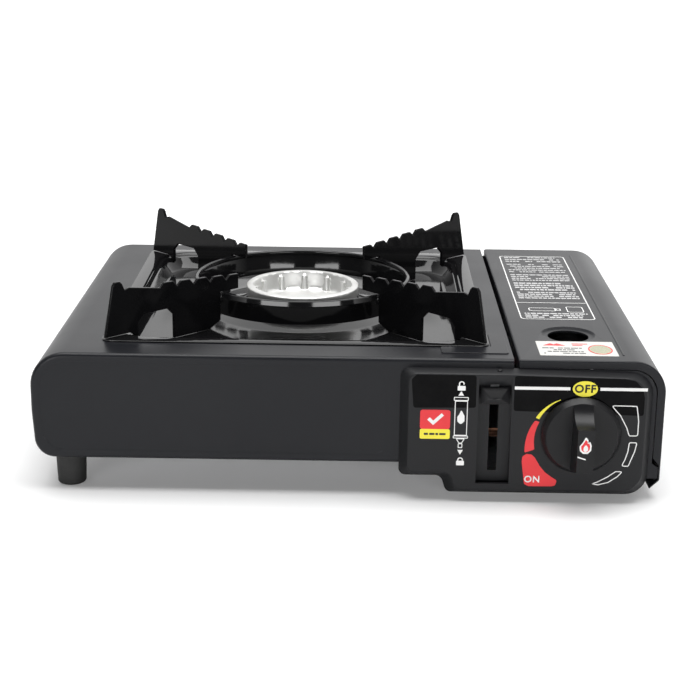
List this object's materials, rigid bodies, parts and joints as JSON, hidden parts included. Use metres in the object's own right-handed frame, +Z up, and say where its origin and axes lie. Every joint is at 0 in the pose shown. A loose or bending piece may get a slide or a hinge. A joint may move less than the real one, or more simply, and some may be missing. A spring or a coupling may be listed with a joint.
{
  "type": "butane cassette stove",
  "caption": "Portable butane cassette stove: pressed body with drip tray, ring burner and lift-off pan support, and a gas cartridge bay under a side-hinged lid.",
  "frame": {"origin": "middle of the footprint on the table, knob included", "axes": "+X to the right seen from the control panel, +Y to the back, +Z up"},
  "size_m": [0.34, 0.2846, 0.1097],
  "materials": {
    "body_steel": "satin black baked paint on sheet steel",
    "black_enamel": "gloss black vitreous enamel",
    "panel_plastic": "black moulded plastic, gloss header band over a satin field",
    "knob_plastic": "satin black heat-proof plastic",
    "burner_aluminium": "satin pressed aluminium",
    "cast_alloy": "die-cast alloy",
    "zinc_steel": "zinc-plated steel",
    "brass": "turned brass",
    "copper": "drawn copper pipe",
    "rubber": "black rubber",
    "ceramic": "glazed ceramic",
    "lead_sleeve": "silicone sleeve"
  },
  "bodies": {
    "root": {"body_shell": "body_steel", "base_plate": "zinc_steel", "base_screws": "zinc_steel", "feet_left": "rubber", "feet_right": "rubber", "partition_wall": "zinc_steel", "drip_tray": "black_enamel", "burner_head": "burner_aluminium", "burner_bowl": "cast_alloy", "mixing_tube": "zinc_steel", "gas_jet": "brass", "burner_bracket": "zinc_steel", "electrode_insulator": "ceramic", "electrode_rod": "zinc_steel", "electrode_clip": "zinc_steel", "regulator_body": "cast_alloy", "regulator_cover": "zinc_steel", "regulator_bracket": "zinc_steel", "cartridge_socket": "brass", "socket_seal": "rubber", "gas_pipe": "copper", "piezo_igniter": "knob_plastic", "ignition_lead": "lead_sleeve", "control_panel": "panel_plastic", "panel_screws": "zinc_steel", "lever_bracket": "zinc_steel", "lever_pin": "zinc_steel", "pusher_guides": "zinc_steel", "cartridge_cradles": "zinc_steel", "hinge_brackets": "zinc_steel", "hinge_pins": "zinc_steel"},
    "knob": {"knob": "knob_plastic", "valve_shaft": "zinc_steel", "igniter_cam": "knob_plastic"},
    "lever": {"lock_lever": "zinc_steel", "lever_handle": "knob_plastic"},
    "pusher": {"cartridge_pusher": "zinc_steel"},
    "lid": {"cartridge_lid": "body_steel"},
    "pan_support": {"pan_ring": "black_enamel", "pan_arms": "black_enamel"}
  },
  "joints": [
    {"name": "knob_turn", "type": "hinge", "parent": "root", "child": "knob", "pos_m": [0.1245, -0.12375, 0.04], "axis": [0, -1, 0], "range_deg": [0, 130]},
    {"name": "lever_swing", "type": "hinge", "parent": "root", "child": "lever", "pos_m": [0.0783, -0.06075, 0.041], "axis": [1, 0, 0], "range_deg": [0, 36.6]},
    {"name": "cartridge_push", "type": "slide", "parent": "root", "child": "pusher", "axis": [0, -1, 0], "range_m": [0, 0.0063]},
    {"name": "lid_hinge", "type": "hinge", "parent": "root", "child": "lid", "pos_m": [0.163, 0, 0.012], "axis": [0, 1, 0], "range_deg": [0, 90]},
    {"name": "pan_lift", "type": "slide", "parent": "root", "child": "pan_support", "axis": [0, 0, 1], "range_m": [0, 0.06]}
  ],
  "couplings": [
    {"joint": "cartridge_push", "follows": "lever_swing", "m_per_rad": 0.00983}
  ]
}
